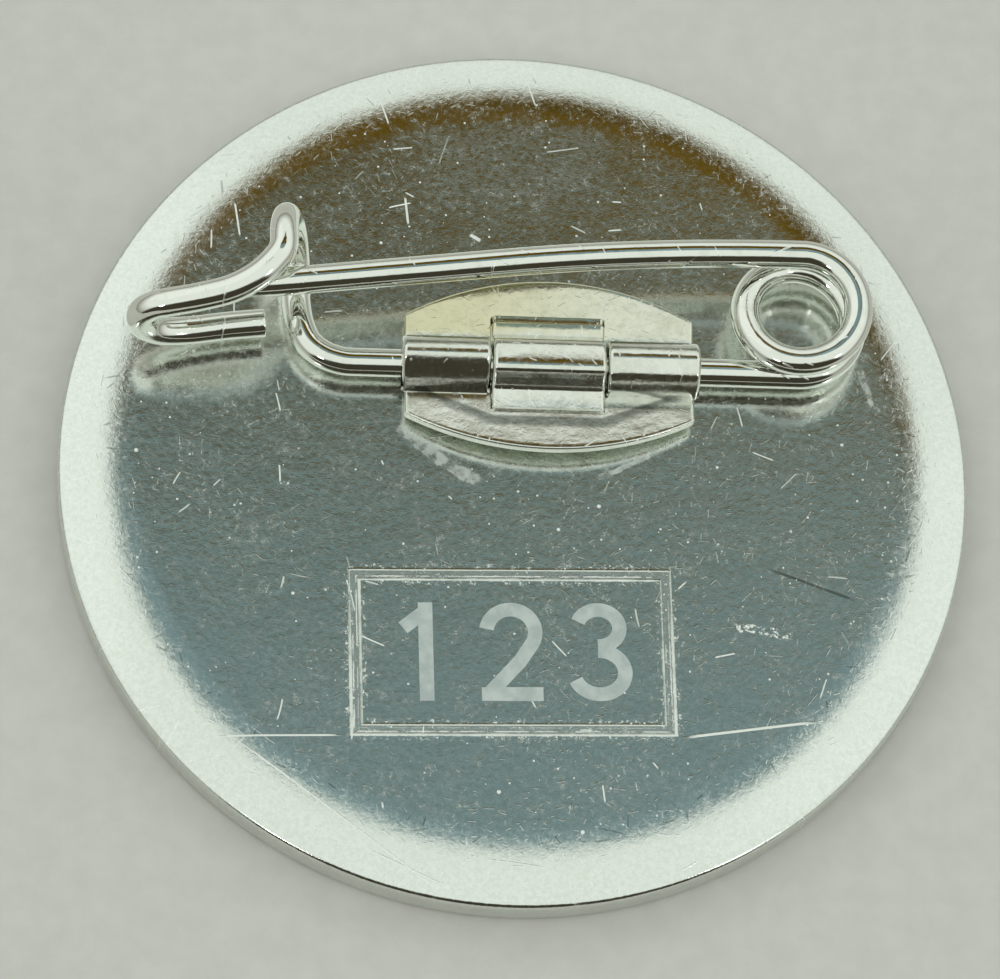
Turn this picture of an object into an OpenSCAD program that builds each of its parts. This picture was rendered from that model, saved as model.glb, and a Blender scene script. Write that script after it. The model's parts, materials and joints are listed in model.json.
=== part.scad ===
// Round pin-back badge: a polished metal disc with a coiled brooch pin held in a
// three-knuckle joint. It lies face down: the front rim is the plane Z = 0, +Z rises
// out of the back, and +X runs along the pin's fixed arm, from the catch to the coil.

/* [Badge] */
// Diameter of the badge
badge_d = 38.4; // [37.6:0.2:42]
// Thickness from the front rim to the back face
badge_t = 2.1; // [1.8:0.1:3]
// Width of the softly rounded margin of the back
margin_w = 3.4; // [2.5:0.1:4]
// Steepest slope of the rounded margin, in degrees
margin_slope = 18; // [10:1:24]
// Radius of the small edge between the margin and the side wall
edge_r = 0.3; // [0.2:0.05:0.4]
// Width of the polished rim around the front
rim_w = 1.5; // [1:0.1:3]
// Depth of the front recess that the enamel fills
enamel_t = 0.5; // [0.3:0.05:0.8]
// How far the enamel lies below the front rim
enamel_set_back = 0.1; // [0.05:0.05:0.2]

/* [Engraved box] */
// Length of the outer engraved line
box_w = 13.4; // [11:0.1:15]
// Height of the outer engraved line
box_h = 7.2; // [6:0.1:8]
// Distance of the box's centre below the badge's centre
box_drop = 8.3; // [7:0.1:9]
// Turn of the box against the pin, in degrees
box_turn = 1.3; // [0:0.1:3]
// Gap between the two engraved lines
line_gap = 0.42; // [0.3:0.02:0.6]
// Width of each engraved line
line_w = 0.1; // [0.08:0.01:0.2]
// Depth of each engraved line
line_depth = 0.05; // [0.04:0.01:0.1]

/* [Wire] */
// Diameter of the pin wire
wire_d = 1.2; // [1:0.05:1.2]
// Height of the fixed arm's axis above the back face
fixed_arm_h = 1.1; // [1:0.05:1.2]
// Height of the pin arm's axis above the back face
pin_arm_h = 3; // [2.9:0.05:3.2]
// Y of the fixed arm
fixed_arm_y = 4; // [3.5:0.1:4.5]
// Mean radius of the spring coil
coil_r = 2.35; // [2.2:0.05:2.5]
// X of the coil's centre
coil_x = 11.85; // [11.5:0.05:12]
// Whole turns of the coil; the half turn is added to these
coil_whole_turns = 1; // [1:1:1]
// Radius of the pin arm's gentle bend near the coil
arm_bend_r = 100; // [90:1:120]
// Angle of that bend, in degrees
arm_bend = 7.2; // [6:0.1:8]
// Length of the straight stretch of the pin arm, before its point
arm_straight = 9.6; // [9:0.1:10]
// Length of the ground point
point_len = 4.2; // [3.5:0.1:4.5]
// Radius left at the very tip
tip_r = 0.08; // [0.05:0.01:0.12]

/* [Joint] */
// X of the joint's left end
joint_x0 = -4.95; // [-5.1:0.05:-4.8]
// Width of the left knuckle
left_w = 3.8; // [3.6:0.1:4]
// Width of the middle knuckle
middle_w = 4.85; // [4.6:0.05:5]
// Width of the right knuckle
right_w = 3.9; // [3.7:0.1:4.1]
// Gap between neighbouring knuckles
knuckle_gap = 0.06; // [0.04:0.01:0.1]
// Thickness of the stamped sheet
sheet_t = 0.55; // [0.5:0.01:0.58]
// Radial clearance of the wire in the knuckles
swivel_clear = 0.03; // [0.02:0.01:0.06]
// Height of the base plate's underside above the back face
plate_lift = 0.28; // [0.2:0.02:0.3]
// Length of the base plate along the wire
plate_w = 12.2; // [12:0.1:12.4]
// Height of the base plate's straight ends
plate_end_h = 4.5; // [4:0.1:5]
// Height of the base plate at its middle
plate_mid_h = 7.6; // [7.2:0.1:8]
// Distance of the base plate's centre beyond the fixed arm
plate_offset = 0.06; // [0:0.02:0.2]
// How far the base plate is dished: its long edges stand this much above its middle
dish_rise = 0.5; // [0.3:0.05:0.5]
// Reach of the two outer knuckles' feet over the plate
outer_foot = 0.6; // [0.6:0.1:1]
// Reach of the middle knuckle's foot over the plate
middle_foot = 1.15; // [1.1:0.05:1.7]
// Height of the outer feet's edges above the plate's middle
outer_edge_h = 0.2; // [0.15:0.01:0.25]
// Height of the middle foot's edge above the plate's middle
middle_edge_h = 0.22; // [0.18:0.01:0.26]
// Width of the ledge of sheet behind the middle knuckle
ledge_w = 1.4; // [1:0.1:1.6]

/* [Hidden] */

steel = "#c9cdc6";
enamel = "#27406b";
solder = "#aeb2ac";

wire_r = wire_d / 2;
back_z = badge_t;
swivel_z = back_z + fixed_arm_h;
pin_z = back_z + pin_arm_h;
bore_r = wire_r + swivel_clear;
knuckle_r = bore_r + sheet_t;
plate_z = back_z + plate_lift;
plate_top = plate_z + sheet_t;
plate_y = fixed_arm_y + plate_offset;
dish_r = (plate_mid_h * plate_mid_h / 4 + dish_rise * dish_rise) / (2 * dish_rise);
coil_y = fixed_arm_y + coil_r;
coil_turn = 360 * coil_whole_turns + 180;
coil_rise = pin_arm_h - fixed_arm_h;
plate_x = joint_x0 + (left_w + middle_w + right_w) / 2;
middle_x0 = joint_x0 + left_w;
right_x0 = middle_x0 + middle_w;

// The arm bends away from the coil along an arc, then runs straight to its point.
bend_x = coil_x - arm_bend_r * sin(arm_bend);
bend_y = coil_y + coil_r - arm_bend_r * (1 - cos(arm_bend));

// The catch: where the fixed arm's straight stretch ends, the heights that the wire
// passes on its way under the pin arm, round it and back over it, and the middle of
// that loop beyond the fixed arm.
catch_x0 = -6.6;
under_h = 1.1;
over_h = 5.35;
loop_r = (over_h - under_h) / 2;
loop_h = (over_h + under_h) / 2;
loop_out = 3.3;

// Points of the catch's centre line: X, distance beyond the fixed arm, and height
// above the back face.
catch_route = concat(
    [[catch_x0, 0, fixed_arm_h], [-7.4, 0.03, 1.1], [-8.2, 0.3, 1.1], [-8.85, 0.85, 1.1], [-9.2, 1.7, 1.1],
     [-9.35, 2.6, 1.1]],
    [for (a = [-90:30:90]) [-9.75 - 0.38 * sin(a), loop_out + loop_r * cos(a), loop_h + loop_r * sin(a)]],
    [[-10.5, 2.7, 5.25], [-11.2, 2.05, 5.1], [-12.2, 1.55, 4.85], [-13.4, 1.27, 4.6], [-14.6, 1.12, 4.3],
     [-15.3, 1.08, 4], [-15.8, 1, 3.5], [-15.9, 0.9, 2.8], [-15.6, 0.85, 2.15], [-14.9, 0.9, 1.65],
     [-13.8, 1.1, 1.35], [-12.2, 1.4, 1.25], [-10.75, 1.58, 1.25]]);

wire_sides = 16;
coil_rings = 54;

// Catmull-Rom point between p[i] and p[i + 1] at t from 0 to 1.
function spline_point(p, i, t) =
    let (a = p[max(i - 1, 0)], b = p[i], c = p[i + 1], d = p[min(i + 2, len(p) - 1)])
    0.5 * (2 * b + (c - a) * t + (2 * a - 5 * b + 4 * c - d) * t * t
           + (3 * b - a - 3 * c + d) * t * t * t);

// Every point of a smooth line through p, with n steps between neighbours.
function spline(p, n) = concat(
    [for (i = [0:len(p) - 2], k = [0:n - 1]) spline_point(p, i, k / n)], [p[len(p) - 1]]);

function unit(v) = v / norm(v);

// Direction of a line of points at point i.
function heading(p, i) = unit(p[min(i + 1, len(p) - 1)] - p[max(i - 1, 0)]);

// The part of v that is square to the direction d.
function square_to(v, d) = unit(v - (v * d) * d);

// A round wire swept along points p. first and last are the directions of its two ends.
module swept_wire(p, r, first, last) {
    n = len(p);
    dirs = [for (i = [0:n - 1]) i == 0 ? first : i == n - 1 ? last : heading(p, i)];
    sides = [for (i = 0, s = square_to([0, 0.02, 1], dirs[0]); i < n;
                  i = i + 1, s = square_to(s, dirs[min(i, n - 1)])) s];
    rings = [for (i = [0:n - 1], k = [0:wire_sides - 1])
        let (a = 360 * k / wire_sides)
        p[i] + r * (cos(a) * sides[i] + sin(a) * cross(dirs[i], sides[i]))];
    walls = [for (i = [0:n - 2], k = [0:wire_sides - 1])
        let (k2 = (k + 1) % wire_sides, b = i * wire_sides, c = b + wire_sides)
        each [[b + k, c + k2, b + k2], [b + k, c + k, c + k2]]];
    start = [[for (k = [0:wire_sides - 1]) k]];
    end = [[for (k = [wire_sides - 1:-1:0]) (n - 1) * wire_sides + k]];
    polyhedron(rings, concat(start, walls, end));
}

// Outline of the disc from its axis outwards, turned about Z.
module disc_profile() {
    r = badge_d / 2;
    flat_r = r - margin_w;
    arc_r = (margin_w - edge_r * (1 - sin(margin_slope))) / sin(margin_slope);
    corner_z = back_z - arc_r * (1 - cos(margin_slope)) - edge_r * cos(margin_slope);
    corner_a = 90 - margin_slope;
    margin = [for (a = [0:margin_slope / 12:margin_slope - 0.1])
        [flat_r + arc_r * sin(a), back_z - arc_r * (1 - cos(a))]];
    corner = [for (a = [corner_a:-corner_a / 8:-0.1])
        [r - edge_r + edge_r * cos(a), corner_z + edge_r * sin(a)]];
    foot = [for (a = [0:-15:-90]) [r - edge_r + edge_r * cos(a), edge_r + edge_r * sin(a)]];
    polygon(concat([[0, 0], [0, back_z]], margin, corner, foot));
}

module box_line(w, h) {
    linear_extrude(line_depth * 2)
        difference() {
            square([w, h], center = true);
            square([w - 2 * line_w, h - 2 * line_w], center = true);
        }
}

module badge_body() {
    color(steel)
    difference() {
        rotate_extrude($fn = 180) disc_profile();
        translate([0, 0, -1]) cylinder(r = badge_d / 2 - rim_w, h = 1 + enamel_t, $fn = 180);
        translate([-0.25, -box_drop, back_z - line_depth]) rotate(box_turn) {
            box_line(box_w, box_h);
            box_line(box_w - 2 * line_gap, box_h - 2 * line_gap);
        }
    }
}

module front_enamel() {
    color(enamel)
    translate([0, 0, enamel_set_back])
        cylinder(r = badge_d / 2 - rim_w, h = enamel_t - enamel_set_back, $fn = 180);
}

// Barrel outline: straight ends, with an arc along the top and the bottom.
module barrel(w, end_h, mid_h) {
    rise = (mid_h - end_h) / 2;
    r = (w * w / 4 + rise * rise) / (2 * rise);
    intersection() {
        square([w, mid_h], center = true);
        translate([0, mid_h / 2 - r]) circle(r, $fn = 180);
        translate([0, r - mid_h / 2]) circle(r, $fn = 180);
    }
}

module along_wire(x0, w, r) {
    translate([x0, fixed_arm_y, swivel_z]) rotate([0, 90, 0]) cylinder(r = r, h = w, $fn = 64);
}

// The round bar that the plate's dish is bent over. With depth 0 its surface is the
// plate's underside, and with depth sheet_t it is the plate's upper face.
module dish_bar(depth) {
    translate([plate_x - plate_w, plate_y, plate_z + dish_r]) rotate([0, 90, 0])
        cylinder(r = dish_r - depth, h = 2 * plate_w, $fn = 180);
}

// Solder fills the space between the back and the dished plate.
module solder_bed() {
    inset = 0.8;
    color(solder)
    difference() {
        translate([plate_x, plate_y, back_z]) linear_extrude(plate_lift + dish_rise)
            barrel(plate_w - 2 * inset, plate_end_h - inset, plate_mid_h - 2 * inset);
        dish_bar(0);
    }
}

module joint_plate() {
    color(steel)
    difference() {
        intersection() {
            translate([plate_x, plate_y, plate_z]) linear_extrude(2 * sheet_t + dish_rise)
                barrel(plate_w, plate_end_h, plate_mid_h);
            dish_bar(0);
        }
        dish_bar(sheet_t);
        along_wire(joint_x0 - 1, plate_w + 2, bore_r);
    }
}

// One knuckle: a tube round the wire, with a foot that reaches out over the plate
// towards -Y and ends in an edge of height edge_h.
module knuckle(x0, w, foot, edge_h) {
    color(steel)
    difference() {
        intersection() {
            union() {
                along_wire(x0, w, knuckle_r);
                translate([x0, fixed_arm_y, plate_top]) mirror([0, 1, 0])
                    translate([0, knuckle_r * 0.6, 0]) rotate([90, 0, 90])
                    linear_extrude(w) foot_profile(foot, edge_h);
            }
            dish_bar(sheet_t);
        }
        along_wire(x0 - 1, w + 2, bore_r);
    }
}

// Hollow fillet between the tube's flank and the foot's edge, reach wide.
module foot_profile(reach, edge_h) {
    r = reach - knuckle_r * 0.4;
    difference() {
        square([reach, min(r + edge_h, swivel_z - plate_top)]);
        translate([reach, r + edge_h]) circle(r, $fn = 64);
    }
}

module left_knuckle() {
    knuckle(joint_x0, left_w - knuckle_gap, outer_foot, outer_edge_h);
}

// The middle knuckle also stands on a ledge of sheet on its +Y side.
module middle_knuckle() {
    knuckle(middle_x0, middle_w - knuckle_gap, middle_foot, middle_edge_h);
    color(steel)
    difference() {
        intersection() {
            translate([middle_x0, fixed_arm_y + knuckle_r * 0.75, plate_top])
                cube([middle_w - knuckle_gap, ledge_w, sheet_t * 1.3]);
            dish_bar(sheet_t);
        }
        along_wire(middle_x0 - 1, middle_w + 2, bore_r);
    }
}

module right_knuckle() {
    knuckle(right_x0, right_w, outer_foot, outer_edge_h);
}

module fixed_arm() {
    color(steel)
    along_wire(catch_x0, coil_x - catch_x0, wire_r);
}

module catch_hook() {
    route = [for (q = spline(catch_route, 3)) q + [0, fixed_arm_y, back_z]];
    n = len(route);
    color(steel)
    swept_wire(route, wire_r, [-1, 0, 0], heading(route, n - 1));
}

// The coil leaves the fixed arm and meets the pin arm level, and climbs in between.
module spring_coil() {
    route = [for (i = [0:coil_rings])
        let (t = i / coil_rings, a = -90 + coil_turn * t, lift = t - sin(360 * t) / (2 * PI))
        [coil_x + coil_r * cos(a), coil_y + coil_r * sin(a), swivel_z + coil_rise * lift]];
    color(steel)
    swept_wire(route, wire_r, [1, 0, 0], [-1, 0, 0]);
}

// Pin arm: an arc off the coil, a straight stretch, and the ground point.
module pin_arm() {
    color(steel) {
        translate([coil_x, coil_y + coil_r - arm_bend_r, pin_z]) rotate(90)
            rotate_extrude(angle = arm_bend, $fn = 720) translate([arm_bend_r, 0]) circle(wire_r, $fn = 48);
        translate([bend_x, bend_y, pin_z]) rotate([0, -90, arm_bend])
            rotate_extrude($fn = 48) polygon([
                [0, 0], [wire_r, 0], [wire_r, arm_straight],
                [wire_r * 0.62, arm_straight + point_len * 0.55],
                [tip_r, arm_straight + point_len], [0, arm_straight + point_len],
            ]);
    }
}

badge_body();
front_enamel();
solder_bed();
joint_plate();
left_knuckle();
middle_knuckle();
right_knuckle();
fixed_arm();
catch_hook();
spring_coil();
pin_arm();
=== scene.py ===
"""Pin-back badge lying face down: a polished nickel disc with a coiled brooch pin on its back."""
import json
import math

import bmesh
import bpy
from mathutils import Matrix, Vector


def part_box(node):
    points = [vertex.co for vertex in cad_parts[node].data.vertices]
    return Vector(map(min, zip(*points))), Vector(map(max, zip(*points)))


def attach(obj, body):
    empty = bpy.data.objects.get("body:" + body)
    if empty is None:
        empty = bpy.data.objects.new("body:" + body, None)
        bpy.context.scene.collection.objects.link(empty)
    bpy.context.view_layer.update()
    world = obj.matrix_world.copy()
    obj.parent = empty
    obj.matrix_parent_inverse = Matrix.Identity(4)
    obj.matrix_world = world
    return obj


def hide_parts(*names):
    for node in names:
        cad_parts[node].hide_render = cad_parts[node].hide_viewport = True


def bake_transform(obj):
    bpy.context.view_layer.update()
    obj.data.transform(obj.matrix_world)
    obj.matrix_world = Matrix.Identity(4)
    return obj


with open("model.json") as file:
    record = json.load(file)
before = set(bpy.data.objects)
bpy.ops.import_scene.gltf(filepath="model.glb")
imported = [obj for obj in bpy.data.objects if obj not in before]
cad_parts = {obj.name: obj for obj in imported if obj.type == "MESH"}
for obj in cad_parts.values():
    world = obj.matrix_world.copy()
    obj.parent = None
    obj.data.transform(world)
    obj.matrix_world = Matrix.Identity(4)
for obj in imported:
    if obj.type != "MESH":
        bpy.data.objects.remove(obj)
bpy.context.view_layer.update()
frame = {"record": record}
MM = 0.001


def in_mm(box):
    """Both corners of a box, in millimetres."""
    return [[v / MM for v in corner] for corner in box]


# ---------------------------------------------------------------- places taken from the frame

joints = {j["name"]: j for j in frame["record"]["behaviour"]["joints"]}
swivel_at = [v / MM for v in joints["pin_swivel"]["pos_m"]]
open_at = [v / MM for v in joints["pin_release"]["pos_m"]]
body_lo, body_hi = in_mm(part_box("badge_body"))
enamel_lo, enamel_hi = in_mm(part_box("front_enamel"))
solder_lo, solder_hi = in_mm(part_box("solder_bed"))
plate_lo, plate_hi = in_mm(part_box("joint_plate"))
middle_lo, middle_hi = in_mm(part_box("middle_knuckle"))
arm_lo, arm_hi = in_mm(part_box("fixed_arm"))

BADGE_R = -body_lo[0]
BACK_Z = body_hi[2]
WIRE_R = (arm_hi[2] - arm_lo[2]) / 2
SWIVEL_Y, SWIVEL_Z = swivel_at[1], swivel_at[2]
COIL_X, COIL_Y, PIN_Z = open_at
COIL_R = COIL_Y - SWIVEL_Y
MIDDLE_X = (middle_lo[0] + middle_hi[0]) / 2
SHEET_T = 0.55
BORE_CLEARANCE = 0.03
BORE_R = WIRE_R + BORE_CLEARANCE
# How far a piece sinks into the one it sits on, so that no gap shows.
SINK = 0.02

# The engraved box on the back: outer size, centre, turn in degrees, and its two lines.
BOX_SIZE = (13.4, 7.2)
BOX_AT = (-0.25, -8.3)
BOX_TURN = 1.3
LINE_GAP = 0.42
LINE_W = 0.1
LINE_DEPTH = 0.045

# ---------------------------------------------------------------- mesh helpers


def mesh_piece(name, verts, faces, smooth_angle=30.0):
    """A new object from points in millimetres, shaded smooth except across sharp edges."""
    mesh = bpy.data.meshes.new(name)
    mesh.from_pydata([tuple(c * MM for c in v) for v in verts], [], faces)
    bm = bmesh.new()
    bm.from_mesh(mesh)
    bmesh.ops.recalc_face_normals(bm, faces=bm.faces)
    bm.to_mesh(mesh)
    bm.free()
    piece = bpy.data.objects.new(name, mesh)
    bpy.context.collection.objects.link(piece)
    shade(piece, smooth_angle)
    return piece


def shade(piece, angle):
    """Smooth shading with sharp edges where neighbouring faces meet at more than angle degrees."""
    bm = bmesh.new()
    bm.from_mesh(piece.data)
    for face in bm.faces:
        face.smooth = True
    for edge in bm.edges:
        edge.smooth = len(edge.link_faces) == 2 and edge.calc_face_angle(0.0) < math.radians(angle)
    bm.to_mesh(piece.data)
    bm.free()


def apply_modifiers(piece):
    """Turns the piece's modifiers into mesh."""
    graph = bpy.context.evaluated_depsgraph_get()
    made = bpy.data.meshes.new_from_object(piece.evaluated_get(graph))
    piece.modifiers.clear()
    piece.data = made


def bevel(piece, width, segments=3, angle=30.0):
    """Rounds the piece's sharp edges by width millimetres."""
    mod = piece.modifiers.new("bevel", "BEVEL")
    mod.width = width * MM
    mod.segments = segments
    mod.limit_method = "ANGLE"
    mod.angle_limit = math.radians(angle)
    mod.harden_normals = False
    apply_modifiers(piece)
    shade(piece, 30)


def lathe(name, profile, steps=256, smooth_angle=20.0):
    """A solid of revolution about Z from (radius, z) points whose first and last lie on the axis."""
    verts = [(0, 0, profile[0][1])]
    rings = profile[1:-1]
    for r, z in rings:
        for k in range(steps):
            a = 2 * math.pi * k / steps
            verts.append((r * math.cos(a), r * math.sin(a), z))
    verts.append((0, 0, profile[-1][1]))
    last = len(verts) - 1
    faces = []
    for k in range(steps):
        k2 = (k + 1) % steps
        faces.append((0, 1 + k2, 1 + k))
        faces.append((last, last - steps + k, last - steps + k2))
        for i in range(len(rings) - 1):
            a, b = 1 + i * steps, 1 + (i + 1) * steps
            faces.append((a + k, a + k2, b + k2, b + k))
    return mesh_piece(name, verts, faces, smooth_angle)


def arc(cx, cy, r, a0, a1, steps, ry=None):
    """Points on an arc from a0 to a1 degrees, of a circle or, with ry, of an ellipse."""
    turn = [math.radians(a0 + (a1 - a0) * i / steps) for i in range(steps + 1)]
    return [(cx + r * math.cos(a), cy + (ry or r) * math.sin(a)) for a in turn]


def spline(points, steps):
    """A smooth Catmull-Rom line through points, with steps between neighbours."""
    line = []
    last = len(points) - 1
    for i in range(last):
        a, b, c, d = (Vector(points[max(0, min(last, i + k))]) for k in (-1, 0, 1, 2))
        for k in range(steps):
            t = k / steps
            line.append(0.5 * (2 * b + (c - a) * t + (2 * a - 5 * b + 4 * c - d) * t ** 2
                               + (3 * b - a - 3 * c + d) * t ** 3))
    line.append(Vector(points[last]))
    return line


def swept_wire(name, line, radius, first, last, sides=32, end_round=0.0):
    """A round wire along line, whose ends face along first and last. radius is a number or a
    function of the ring's index. end_round rounds the rim of the last end, in millimetres."""
    line = [Vector(p) for p in line]
    n = len(line)
    size = radius if callable(radius) else lambda i: radius
    dirs = [(line[min(i + 1, n - 1)] - line[max(i - 1, 0)]).normalized() for i in range(n)]
    dirs[0], dirs[-1] = Vector(first).normalized(), Vector(last).normalized()
    side = Vector((0, 0.02, 1))
    rings = []
    for i in range(n):
        side = (side - side.dot(dirs[i]) * dirs[i]).normalized()
        rings.append((line[i], size(i), side.copy(), dirs[i], 0.0))
    if end_round:
        p, r, s, d, _ = rings[-1]
        for step in range(1, 5):
            a = math.radians(22.5 * step)
            rings.append((p, r - end_round * (1 - math.cos(a)), s, d, end_round * math.sin(a)))
    verts = []
    for p, r, s, d, shift in rings:
        across = d.cross(s)
        for k in range(sides):
            a = 2 * math.pi * k / sides
            verts.append(tuple(p + d * shift + r * (math.cos(a) * s + math.sin(a) * across)))
    faces = []
    for i in range(len(rings) - 1):
        for k in range(sides):
            a, b, k2 = i * sides, (i + 1) * sides, (k + 1) % sides
            faces.append((a + k, a + k2, b + k2, b + k))
    faces.append(tuple(range(sides)))
    faces.append(tuple(range(len(verts) - 1, len(verts) - sides - 1, -1)))
    return mesh_piece(name, verts, faces, 50)


def combine(piece, other, operation):
    """DIFFERENCE takes the solid other out of piece and UNION joins it on. other is used up."""
    mod = piece.modifiers.new("combine", "BOOLEAN")
    mod.operation = operation
    mod.solver = "EXACT"
    mod.object = other
    apply_modifiers(piece)
    bpy.data.objects.remove(other)


# ---------------------------------------------------------------- material helpers


class Graph:
    """Adds shader nodes to a tree and links them in one call each."""

    def __init__(self, tree):
        self.tree = tree
        tree.nodes.clear()

    def add(self, kind, props=None, **inputs):
        """A node with its properties and inputs set. An input is named, or i and its number."""
        node = self.tree.nodes.new(kind)
        for key, value in (props or {}).items():
            setattr(node, key, value)
        for key, value in inputs.items():
            socket = node.inputs[int(key[1:])] if key[0] == "i" and key[1:].isdigit() \
                else node.inputs[key.replace("_", " ")]
            if isinstance(value, bpy.types.NodeSocket):
                self.tree.links.new(value, socket)
            else:
                socket.default_value = value
        return node

    def math(self, op, a, b=0.0, clamp=False):
        return self.add("ShaderNodeMath", {"operation": op, "use_clamp": clamp}, i0=a, i1=b).outputs[0]

    def place(self, turn=0.0, scale=(1, 1, 1), shift=(0, 0, 0)):
        """The point in millimetres, turned about Z, then scaled and shifted."""
        where = self.add("ShaderNodeTexCoord").outputs["Object"]
        turned = self.add("ShaderNodeMapping", {"vector_type": "POINT"}, Vector=where,
                          Rotation=(0, 0, math.radians(turn)), Scale=(1000, 1000, 1000))
        sized = self.add("ShaderNodeVectorMath", {"operation": "MULTIPLY"},
                         i0=turned.outputs[0], i1=scale)
        return self.add("ShaderNodeVectorMath", {"operation": "ADD"},
                        i0=sized.outputs[0], i1=shift).outputs[0]

    def noise(self, where, scale=1.0, detail=3.0, rough=0.55):
        made = self.add("ShaderNodeTexNoise", Vector=where, Scale=scale, Detail=detail, Roughness=rough)
        return made.outputs["Fac"]

    def ramp(self, value, low, high, out_low=0.0, out_high=1.0):
        """value from low..high to out_low..out_high, eased and held outside."""
        made = self.add("ShaderNodeMapRange", {"interpolation_type": "SMOOTHSTEP"}, Value=value)
        for key, number in (("From Min", low), ("From Max", high), ("To Min", out_low), ("To Max", out_high)):
            made.inputs[key].default_value = number
        return made.outputs[0]

    def mix(self, amount, a, b):
        made = self.add("ShaderNodeMix", {"data_type": "RGBA"})
        for index, value in ((0, amount), (6, a), (7, b)):
            if isinstance(value, bpy.types.NodeSocket):
                self.tree.links.new(value, made.inputs[index])
            else:
                made.inputs[index].default_value = value
        return made.outputs[2]

    def bump(self, height, strength, depth_mm, normal=None):
        made = self.add("ShaderNodeBump", Strength=strength, Distance=depth_mm * MM, Height=height)
        if normal is not None:
            self.tree.links.new(normal, made.inputs["Normal"])
        return made.outputs[0]

    def ticks(self, cell, width, keep, shift=(0, 0, 0), bend=0.25):
        """Short scratches, one in a share keep of cells. Each has its own direction, length and
        strength. cell and width are in millimetres."""
        where = self.place(0, (1 / cell, 1 / cell, 1 / cell), shift)
        warp = self.add("ShaderNodeTexNoise", Vector=where, Scale=0.6, Detail=1.0)
        where = self.add("ShaderNodeVectorMath", {"operation": "MULTIPLY_ADD"},
                         i0=warp.outputs["Color"], i1=(bend, bend, 0), i2=where).outputs[0]
        cells = self.add("ShaderNodeTexVoronoi", {"voronoi_dimensions": "2D"}, Vector=where, Scale=1.0)
        pick = self.add("ShaderNodeSeparateColor", Color=cells.outputs["Color"])
        away = self.add("ShaderNodeVectorMath", {"operation": "SUBTRACT"}, i0=where,
                        i1=cells.outputs["Position"])
        turn = self.math("MULTIPLY", pick.outputs[0], math.pi)
        turned = self.add("ShaderNodeVectorRotate", {"rotation_type": "Z_AXIS"},
                          Vector=away.outputs[0], Angle=turn)
        part = self.add("ShaderNodeSeparateXYZ", Vector=turned.outputs[0])
        length = self.math("MULTIPLY_ADD", pick.outputs[1], 0.34)
        length.node.inputs[2].default_value = 0.1
        along = self.math("SUBTRACT", length, self.math("ABSOLUTE", part.outputs[0]))
        across = self.math("ABSOLUTE", part.outputs[1])
        line = self.math("MULTIPLY", self.ramp(across, width / cell * 0.3, width / cell, 1.0, 0.0),
                         self.ramp(along, 0.0, 0.12))
        strength = self.ramp(pick.outputs[2], 0.0, keep, 1.0, 0.0)
        return self.math("MULTIPLY", line, strength)

    def specks(self, cell, size, keep, shift=(0, 0, 0)):
        """Round flecks of up to size millimetres in a share keep of cells."""
        where = self.place(0, (1 / cell, 1 / cell, 1 / cell), shift)
        cells = self.add("ShaderNodeTexVoronoi", {"voronoi_dimensions": "2D"}, Vector=where, Scale=1.0)
        pick = self.add("ShaderNodeSeparateColor", Color=cells.outputs["Color"])
        rim = self.math("MULTIPLY", self.ramp(pick.outputs[2], 0.0, keep, 1.0, 0.0), size / cell)
        return self.ramp(self.math("SUBTRACT", rim, cells.outputs["Distance"]), 0.0, size / cell * 0.3)

    def stroke(self, a, b, width, rough=0.0):
        """A straight mark from a to b, in millimetres, width wide and rough at its edges."""
        dx, dy = b[0] - a[0], b[1] - a[1]
        length = math.hypot(dx, dy)
        flat = self.place()
        if rough:
            warp = self.add("ShaderNodeTexNoise", Vector=flat, Scale=2.5, Detail=5.0)
            flat = self.add("ShaderNodeVectorMath", {"operation": "MULTIPLY_ADD"},
                            i0=warp.outputs["Color"], i1=(rough, rough, 0), i2=flat).outputs[0]
            a = (a[0] + rough / 2, a[1] + rough / 2)
        away = self.add("ShaderNodeVectorMath", {"operation": "SUBTRACT"}, i0=flat, i1=(a[0], a[1], 0))
        along = self.add("ShaderNodeVectorMath", {"operation": "DOT_PRODUCT"}, i0=away.outputs[0],
                         i1=(dx / length, dy / length, 0)).outputs["Value"]
        across = self.add("ShaderNodeVectorMath", {"operation": "DOT_PRODUCT"}, i0=away.outputs[0],
                          i1=(-dy / length, dx / length, 0)).outputs["Value"]
        beyond = self.math("SUBTRACT", self.math("ABSOLUTE", self.math("SUBTRACT", along, length / 2)),
                           length / 2)
        inside = self.ramp(beyond, -0.15 * length, 0.0, 1.0, 0.0)
        near = self.ramp(self.math("ABSOLUTE", across), width * 0.25, width / 2, 1.0, 0.0)
        return self.math("MULTIPLY", inside, near)

    def most(self, masks):
        """The strongest of several masks at each point."""
        total = masks[0]
        for mask in masks[1:]:
            total = self.math("MAXIMUM", total, mask)
        return total


def new_material(name):
    made = bpy.data.materials.new(name)
    made.use_nodes = True
    graph = Graph(made.node_tree)
    shader = graph.add("ShaderNodeBsdfPrincipled")
    out = graph.add("ShaderNodeOutputMaterial")
    graph.tree.links.new(shader.outputs[0], out.inputs[0])
    return made, graph, shader


def finish_material(graph, shader, color, roughness, normal=None):
    for key, value in (("Base Color", color), ("Roughness", roughness), ("Normal", normal)):
        if isinstance(value, bpy.types.NodeSocket):
            graph.tree.links.new(value, shader.inputs[key])
        elif value is not None:
            shader.inputs[key].default_value = value


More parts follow.
